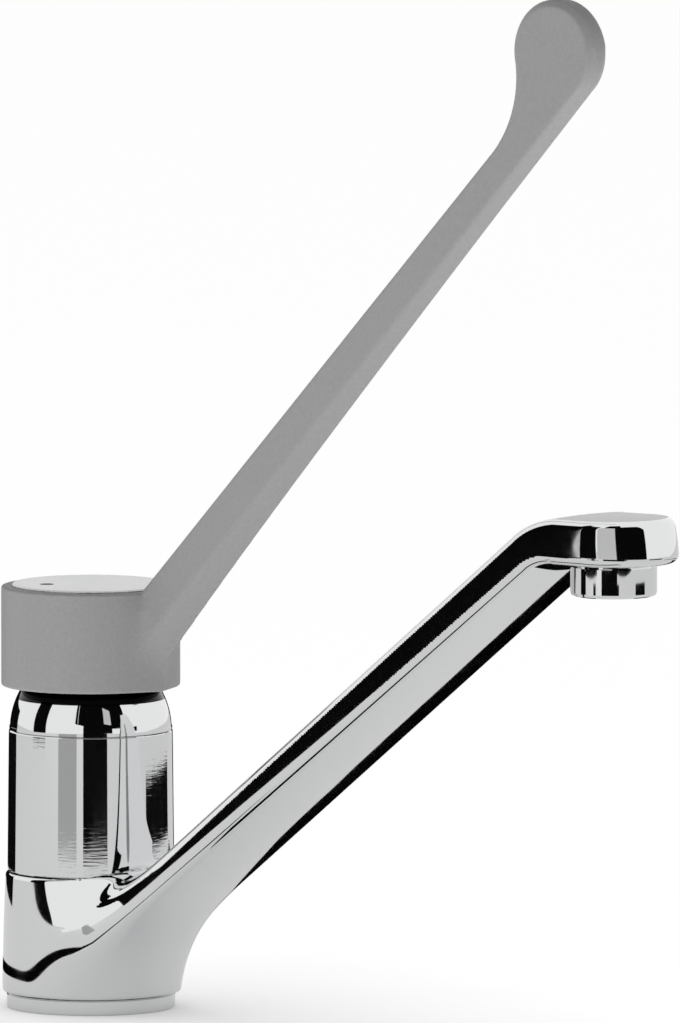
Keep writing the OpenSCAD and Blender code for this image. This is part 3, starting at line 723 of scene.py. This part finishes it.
def turned(name, base, roughness):
    """Turned metal with fine tool marks round an upright axis."""
    shader = Shader(name, base, 1.0, roughness)
    marks = shader.noise(90, 3, (1, 1, 40))
    shader.tint(shader.noise(120, 3), base, 0.94, 1.05)
    shader.roughness(marks, roughness * 0.7, roughness * 1.3)
    shader.bump((marks, 0.01 * MM))
    return shader.material


made_finishes = {}


def finish(name):
    """The material of that name, made the first time that it is asked for."""
    settings = bpy.context.scene.tap_finishes
    makers = {
        "chrome": lambda: plated("chrome plate", settings).material,
        "barrel": lambda: turned_chrome(settings),
        "dome": lambda: dome_chrome(settings),
        "cast": lambda: cast_chrome(settings),
        "satin": lambda: satin_chrome(settings),
        "grey": lambda: lever_grey(settings),
        "dot": lambda: moulded("index dot", settings.dot, 0.5, shine=0.05),
        "white": lambda: moulded("white plastic", (0.78, 0.78, 0.75), 0.42),
        "blue": lambda: moulded("blue plastic", (0.055, 0.11, 0.24), 0.4),
        "ceramic": lambda: moulded("lapped ceramic", (0.80, 0.77, 0.70), 0.16, 1200),
        "rubber": lambda: moulded("seal rubber", (0.018, 0.018, 0.018), 0.62, 900),
        "steel": lambda: turned("turned steel", (0.58, 0.58, 0.60), 0.28),
        "brass": lambda: turned("turned brass", (0.72, 0.52, 0.20), 0.25),
    }
    if name not in made_finishes:
        made_finishes[name] = makers[name]()
    return made_finishes[name]


def coat(mesh, name):
    """Gives a mesh one finish."""
    mesh.materials.clear()
    mesh.materials.append(finish(name))


def dress(node, name):
    """A CAD node with its own mesh and a finish."""
    coat(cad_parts[node].data, name)


def hand_in(name, mesh, material, body, slot, *nodes):
    """A finished piece: its material, the body that carries it and the nodes that it stands for."""
    coat(mesh, material)
    piece = link(name, mesh)
    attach(piece, body)
    if nodes:
        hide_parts(*nodes)


class TAP_OT_spout(bpy.types.Operator):
    """Builds the cast swivel spout with its ring and nose in one skin"""

    bl_idname = "tap.spout"
    bl_label = "Cast spout"

    def execute(self, context):
        sizes = context.scene.tap_spout
        bore = drum("bore", sizes.ring_bore, SPOUT_LOW.z - MM, sizes.bore_top)
        seat = AERATOR_HIGH.z - sizes.neck_h
        thread_top = AERATOR_HIGH.z + sizes.neck_room
        socket_r = (AERATOR_HIGH.x - AERATOR_LOW.x) / 2 + RUN_GAP
        thread_r = socket_r - sizes.neck_step
        socket_outline = [
            (0, AERATOR_LOW.z),
            (socket_r, AERATOR_LOW.z),
            (socket_r, seat),
            (thread_r, seat),
            (thread_r, thread_top),
            (0, thread_top),
        ]
        socket = plug("socket", socket_outline, (OUTLET_X, 0))
        mesh = mould("spout_casting", SpoutForm(sizes), SPOUT_LOW, SPOUT_HIGH, [bore, socket])
        hand_in("spout_casting", mesh, "cast", "spout", "chrome", "spout")
        return {"FINISHED"}


class TAP_OT_lever(bpy.types.Operator):
    """Builds the lever's collar, arm and paddle in one skin"""

    bl_idname = "tap.lever"
    bl_label = "Elbow lever"

    def execute(self, context):
        sizes = context.scene.tap_lever
        inner = sizes.collar_r - sizes.collar_wall
        disc_r = (CAP_HIGH.x - CAP_LOW.x) / 2 + sizes.disc_gap
        seat = CAP_LOW.z - sizes.disc_drop
        recess = drum("recess", disc_r, seat, seat + sizes.disc_over)
        boss_r = sizes.boss_r
        boss_low = seat - sizes.boss_h
        low = boss_low - sizes.boss_under
        high = seat - sizes.web
        hollow = lathe("hollow", [(boss_r, low), (inner, low), (inner, high), (boss_r, high)])
        below = drum("below", inner, LEVER_LOW.z - MM, boss_low)
        cutters = [recess, hollow, below]
        mesh = mould("lever_moulding", LeverForm(sizes), LEVER_LOW, LEVER_HIGH, cutters)
        hand_in("lever_moulding", mesh, "grey", "lever", "lever_grey", "lever")
        return {"FINISHED"}


def lip_tree(rings):
    """Geometry nodes that set a pressed lip round each hole of the screen."""
    tree = bpy.data.node_groups.new("screen lips", "GeometryNodeTree")
    sockets = {
        "Pitch": "NodeSocketFloat",
        "Hole radius": "NodeSocketFloat",
        "Lip": "NodeSocketFloat",
        "Place": "NodeSocketVector",
        "Finish": "NodeSocketMaterial",
    }
    for name, kind in sockets.items():
        tree.interface.new_socket(name, in_out="INPUT", socket_type=kind)
    tree.interface.new_socket("Geometry", in_out="OUTPUT", socket_type="NodeSocketGeometry")
    given = tree.nodes.new("NodeGroupInput").outputs

    def add(kind, **inputs):
        """A new node, with each input set or linked."""
        node = tree.nodes.new(kind)
        for name, value in inputs.items():
            socket = node.inputs[name.replace("_", " ")]
            if isinstance(value, bpy.types.NodeSocket):
                tree.links.new(value, socket)
            else:
                socket.default_value = value
        return node

    places = add("GeometryNodeJoinGeometry")
    for k in range(1, rings + 1):
        away = add("ShaderNodeMath")
        away.operation = "MULTIPLY"
        tree.links.new(given["Pitch"], away.inputs[0])
        away.inputs[1].default_value = k
        ring = add("GeometryNodeMeshCircle", Vertices=6 * k, Radius=away.outputs["Value"])
        tree.links.new(ring.outputs["Mesh"], places.inputs["Geometry"])
    middle = add("GeometryNodePoints", Count=1)
    tree.links.new(middle.outputs["Geometry"], places.inputs["Geometry"])
    lip_r = add("ShaderNodeMath")
    tree.links.new(given["Hole radius"], lip_r.inputs[0])
    tree.links.new(given["Lip"], lip_r.inputs[1])
    path = add("GeometryNodeCurvePrimitiveCircle", Resolution=24, Radius=lip_r.outputs["Value"])
    section = add("GeometryNodeCurvePrimitiveCircle", Resolution=6, Radius=given["Lip"])
    lip = add(
        "GeometryNodeCurveToMesh", Curve=path.outputs["Curve"], Profile_Curve=section.outputs["Curve"]
    )
    lips = add(
        "GeometryNodeInstanceOnPoints", Points=places.outputs["Geometry"], Instance=lip.outputs["Mesh"]
    )
    moved = add("GeometryNodeTransform", Geometry=lips.outputs["Instances"], Translation=given["Place"])
    real = add("GeometryNodeRealizeInstances", Geometry=moved.outputs["Geometry"])
    dressed = add("GeometryNodeSetMaterial", Geometry=real.outputs["Geometry"], Material=given["Finish"])
    result = tree.nodes.new("NodeGroupOutput")
    tree.links.new(dressed.outputs["Geometry"], result.inputs["Geometry"])
    return tree


class TAP_OT_screen(bpy.types.Operator):
    """Presses a raised lip round each hole of the outlet screen"""

    bl_idname = "tap.screen"
    bl_label = "Screen lips"

    def execute(self, context):
        sizes = context.scene.tap_screen
        tree = lip_tree(sizes.rings)
        values = {
            "Pitch": sizes.outer_r / sizes.rings,
            "Hole radius": sizes.hole_r,
            "Lip": sizes.lip,
            "Place": (OUTLET_X, 0, SCREEN_Z),
            "Finish": finish("steel"),
        }
        bare = link("bare", bpy.data.meshes.new("bare"))
        modifier = bare.modifiers.new("lips", "NODES")
        modifier.node_group = tree
        for item in tree.interface.items_tree:
            if item.in_out == "INPUT":
                modifier[item.identifier] = values[item.name]
        mesh = plain_mesh(bare)
        smooth(mesh)
        bpy.data.objects.remove(bare)
        hand_in("screen_lips", mesh, "steel", "spout", "steel")
        return {"FINISHED"}


class TAP_OT_chrome(bpy.types.Operator):
    """Plates the body, the dome, the base ring and the aerator housing"""

    bl_idname = "tap.chrome"
    bl_label = "Chrome pieces"

    def execute(self, context):
        for node in ("base_ring", "aerator_housing"):
            dress(node, "chrome")
        dress("dome_cap", "dome")
        dress("body", "barrel")
        dress("top_cap", "satin")
        dress("index_dot", "dot")
        return {"FINISHED"}


class TAP_OT_inner(bpy.types.Operator):
    """Gives the cartridge, the seals, the aerator's inside and the fasteners their finishes"""

    bl_idname = "tap.inner"
    bl_label = "Inner pieces"

    def execute(self, context):
        groups = {
            "rubber": ("base_seal", "spout_seals", "cartridge_seals", "aerator_washer"),
            "white": (
                "upper_slide_ring",
                "lower_slide_ring",
                "cartridge_foot",
                "cartridge_housing",
                "aerator_insert",
            ),
            "blue": ("rotor", "disc_carrier"),
            "ceramic": ("fixed_disc", "moving_disc"),
            "steel": ("pivot_pin", "stem", "handle_screw", "aerator_screen"),
            "brass": ("retaining_nut",),
        }
        for name, nodes in groups.items():
            for node in nodes:
                dress(node, name)
        return {"FINISHED"}


# Shade of the dark cards, and the height of those that lie on the floor
BLACK = 0.004
CARD_Z = 0.5 * MM

# Half the floor's side, its shade, and how far from the tap the shadow painted into its glow reaches
FLOOR_HALF = 4.0
FLOOR_PALE = 0.8
PAINTED_SHADOW_REACH = 0.12

# Point that the lamp faces
LAMP_AIM = (0.08, 0, 0.13)

# Glow of the floor for the light that it throws up, for the camera and for mirrors
FLOOR_GLOW, CAMERA_GLOW, MIRROR_GLOW = 1.0, 0.775, 0.5

# Cards on arcs: name, middle of the arc along X, start and end angle, radius, low and high edge, shade
CARDS = (
    ("camera_card", 0, -58, -25, 0.51, 0.0, 1.4, BLACK),
    ("front_card", 0, -93, -67, 0.51, 0.0, 0.04, 0.55),
    ("right_card", 0, 34, 86, 0.48, 0.0, 0.022, BLACK),
    ("left_card", 0, -136, -114, 0.66, 0.018, 1.4, BLACK),
    ("back_card", 0, 112, 186, 0.36, 0.0, 0.13, BLACK),
    ("outlet_card_left", OUTLET_X, -103, -96, 0.2, 0.088, 0.117, BLACK),
    ("outlet_card_front", OUTLET_X, -64, -35, 0.2, 0.088, 0.117, BLACK),
    ("outlet_card_right", OUTLET_X, 10, 40, 0.2, 0.088, 0.117, BLACK),
)

# Flat cards near the nose: name, two ends seen from above, low and high edge, shade of grey
FLAT_CARDS = (
    ("nose_card_left", (0.0645, -0.166), (0.190, -0.215), 0.118, 0.4, BLACK),
    ("nose_card_right", (0.348, -0.189), (0.439, 0.017), 0.118, 0.45, BLACK),
    ("nose_card_light", (0.2045, -0.115), (0.270, -0.094), 0.131, 0.24, 0.9),
    ("nose_card_line", (0.0728, -0.160), (0.0754, -0.160), 0.12, 0.24, 0.95),
    ("nose_card_top", (-0.036, 0.323), (-0.096, 0.269), 0.16, 0.30, 0.8),
)

# Dark cards on the floor: name and corners seen from above
FLOOR_CARDS = (
    # The card under the spout is a painted shadow: a dark sheet, seen only in mirrors, that stands in for
    # the spout's shadow on the floor
    ("painted_spout_shadow_card", ((0.06, -0.06), (0.24, -0.06), (0.24, -0.03), (0.06, -0.03))),
    (
        "rear_card",
        ((0, 0.07), (0.03, 0.085), (0.102, 0.185), (0.19, 0.34), (0, 0.45), (-0.1, 0.35), (-0.03, 0.15)),
    ),
)

# Bands on the floor round the tap: name, start and end angle, inner and outer radius, shade
FLOOR_BANDS = (
    ("edge_band", 135, 292, 0.095, 0.125, BLACK),
)


def flat_card(name, corners):
    """A one-face mesh for the stage."""
    return link(name, mesh_of(name, corners, [range(len(corners))]))


def seen_white(tree, white, lit):
    """The white shader to the camera, mirrors and glass, and the lit shader to all other rays."""
    path = tree.nodes.new("ShaderNodeLightPath")
    seen = path.outputs["Is Camera Ray"]
    for ray in ("Is Glossy Ray", "Is Transmission Ray"):
        either = tree.nodes.new("ShaderNodeMath")
        either.operation = "MAXIMUM"
        tree.links.new(seen, either.inputs[0])
        tree.links.new(path.outputs[ray], either.inputs[1])
        seen = either.outputs["Value"]
    mix = tree.nodes.new("ShaderNodeMixShader")
    tree.links.new(seen, mix.inputs["Fac"])
    tree.links.new(lit, mix.inputs[1])
    tree.links.new(white, mix.inputs[2])
    return mix.outputs["Shader"]


def light_world(studio):
    """Soft light from all round, and a white room behind the tap."""
    world = bpy.data.worlds.new("studio")
    world.use_nodes = True
    tree = world.node_tree
    lit = tree.nodes["Background"]
    lit.inputs["Color"].default_value = (1, 1, 1, 1)
    lit.inputs["Strength"].default_value = studio.fill
    white = tree.nodes.new("ShaderNodeBackground")
    white.inputs["Color"].default_value = (1, 1, 1, 1)
    white.inputs["Strength"].default_value = 1
    shown = seen_white(tree, white.outputs["Background"], lit.outputs["Background"])
    tree.links.new(shown, tree.nodes["World Output"].inputs["Surface"])
    bpy.context.scene.world = world


def lay_floor():
    """A pale floor that keeps the tap's lit shadow, deepened by a painted shadow: its glow darkens near
    the tap by occlusion.
    """
    half = FLOOR_HALF
    floor = flat_card("floor", [(-half, -half, 0), (half, -half, 0), (half, half, 0), (-half, half, 0)])
    shader = Shader("pale floor", (FLOOR_PALE, FLOOR_PALE, FLOOR_PALE), roughness=0.6)
    shader.set("Specular IOR Level", 0.0)
    path = shader.add("ShaderNodeLightPath")
    level = None
    for ray, seen in (("Is Camera Ray", CAMERA_GLOW), ("Is Glossy Ray", MIRROR_GLOW)):
        step = shader.add("ShaderNodeMath", operation="MULTIPLY_ADD")
        shader.links.new(path.outputs[ray], step.inputs[0])
        step.inputs[1].default_value = seen - FLOOR_GLOW
        step.inputs[2].default_value = FLOOR_GLOW
        if level:
            shader.links.new(level, step.inputs[2])
        level = step.outputs["Value"]
    # Painted shadow: occlusion near the tap darkens the floor's glow
    shadow = shader.add("ShaderNodeAmbientOcclusion")
    shadow.inputs["Distance"].default_value = PAINTED_SHADOW_REACH
    glow = shader.add("ShaderNodeEmission")
    shader.links.new(shadow.outputs["Color"], glow.inputs["Color"])
    shader.links.new(level, glow.inputs["Strength"])
    both = shader.add("ShaderNodeAddShader")
    shader.links.new(shader.surface.outputs["BSDF"], both.inputs[0])
    shader.links.new(glow.outputs["Emission"], both.inputs[1])
    shader.links.new(both.outputs["Shader"], shader.nodes["Material Output"].inputs["Surface"])
    floor.data.materials.append(shader.material)


def arc_card(name, centre_x, start, end, edges, steps=8):
    """A card along a part of a circle, between two edges of (radius, height)."""
    turns = [math.radians(start + (end - start) * i / steps) for i in range(steps + 1)]
    points = [(centre_x + r * math.cos(t), r * math.sin(t), z) for t in turns for r, z in edges]
    faces = [(2 * i, 2 * i + 2, 2 * i + 3, 2 * i + 1) for i in range(steps)]
    return link(name, mesh_of(name, points, faces))


def paint_card(card, shade):
    """Gives a card its shade of grey and hides it from all but mirrors."""
    shader = Shader(card.name, (shade, shade, shade))
    shader.set("Specular IOR Level", 0.0)
    card.data.materials.append(shader.material)
    card.visible_camera = False
    card.visible_diffuse = False
    card.visible_shadow = False


def hang_lamp(name, place, size, power):
    """A square soft lamp that faces the tap."""
    data = bpy.data.lights.new(name, "AREA")
    data.size = size
    data.energy = power
    lamp = link(name, data)
    lamp.visible_glossy = False
    lamp.location = place
    lamp.rotation_euler = (Vector(LAMP_AIM) - Vector(place)).to_track_quat("-Z", "Y").to_euler()


def place_camera(scene, studio):
    """The camera at the photograph's view."""
    a, e = studio.azimuth, studio.elevation
    right = Vector((math.cos(a), math.sin(a), 0))
    up = Vector((-math.sin(a) * math.sin(e), math.cos(a) * math.sin(e), math.cos(e)))
    back = right.cross(up)
    data = bpy.data.cameras.new("camera")
    data.sensor_width = 36
    data.lens = data.sensor_width * studio.distance / (studio.picture_h * studio.pixel)
    across = (studio.picture_w / 2 - studio.origin_x) * studio.pixel
    over = (studio.origin_y - studio.picture_h / 2) * studio.pixel
    camera = link("camera", data)
    camera.location = right * across + up * over + back * studio.distance
    camera.rotation_euler = (-back).to_track_quat("-Z", "Y").to_euler()
    scene.camera = camera


class TAP_OT_studio(bpy.types.Operator):
    """Sets up the floor, the light, the cards that the chrome mirrors and the camera"""

    bl_idname = "tap.studio"
    bl_label = "Studio"

    def execute(self, context):
        studio = context.scene.tap_studio
        light_world(studio)
        lay_floor()
        for name, centre_x, start, end, away, low, high, shade in CARDS:
            paint_card(arc_card(name, centre_x, start, end, ((away, low), (away, high))), shade)
        for name, start, end, low, high, shade in FLAT_CARDS:
            points = [(*start, low), (*end, low), (*end, high), (*start, high)]
            paint_card(flat_card(name, points), shade)
        for name, corners in FLOOR_CARDS:
            paint_card(flat_card(name, [(x, y, CARD_Z) for x, y in corners]), BLACK)
        for name, start, end, inner, outer, shade in FLOOR_BANDS:
            edges = ((outer, CARD_Z), (inner, CARD_Z))
            paint_card(arc_card(name, 0, start, end, edges, steps=40), shade)
        hang_lamp("front lamp", place=(0.3, -1.6, 0.8), size=1.0, power=3.5)
        place_camera(context.scene, studio)
        context.scene.view_settings.view_transform = "Standard"
        return {"FINISHED"}


class TAP_PT_panel(bpy.types.Panel):
    """Lists the tap's sizes, finishes and steps"""

    bl_idname = "TAP_PT_panel"
    bl_label = "Elbow lever tap"
    bl_space_type = "VIEW_3D"
    bl_region_type = "UI"
    bl_category = "Tap"

    def draw(self, context):
        for operator in OPERATORS:
            self.layout.operator(operator.bl_idname)
        for attribute, group in GROUPS.items():
            box = self.layout.box()
            for field in group.__annotations__:
                box.prop(getattr(context.scene, attribute), field)


GROUPS = {
    "tap_spout": SpoutSizes,
    "tap_lever": LeverSizes,
    "tap_screen": ScreenSizes,
    "tap_finishes": Finishes,
    "tap_studio": Studio,
}
OPERATORS = (TAP_OT_spout, TAP_OT_lever, TAP_OT_screen, TAP_OT_chrome, TAP_OT_inner, TAP_OT_studio)


def register():
    """Registers the sizes, the steps and the panel."""
    for attribute, group in GROUPS.items():
        bpy.utils.register_class(group)
        setattr(bpy.types.Scene, attribute, bpy.props.PointerProperty(type=group))
    for operator in OPERATORS:
        bpy.utils.register_class(operator)
    bpy.utils.register_class(TAP_PT_panel)


def unregister():
    """Takes out what register put in."""
    bpy.utils.unregister_class(TAP_PT_panel)
    for operator in reversed(OPERATORS):
        bpy.utils.unregister_class(operator)
    for attribute, group in reversed(GROUPS.items()):
        delattr(bpy.types.Scene, attribute)
        bpy.utils.unregister_class(group)


def main():
    """Builds the tap and its studio."""
    register()
    bpy.ops.tap.spout()
    bpy.ops.tap.lever()
    bpy.ops.tap.screen()
    bpy.ops.tap.chrome()
    bpy.ops.tap.inner()
    bpy.ops.tap.studio()


if __name__ == "__main__":
    main()
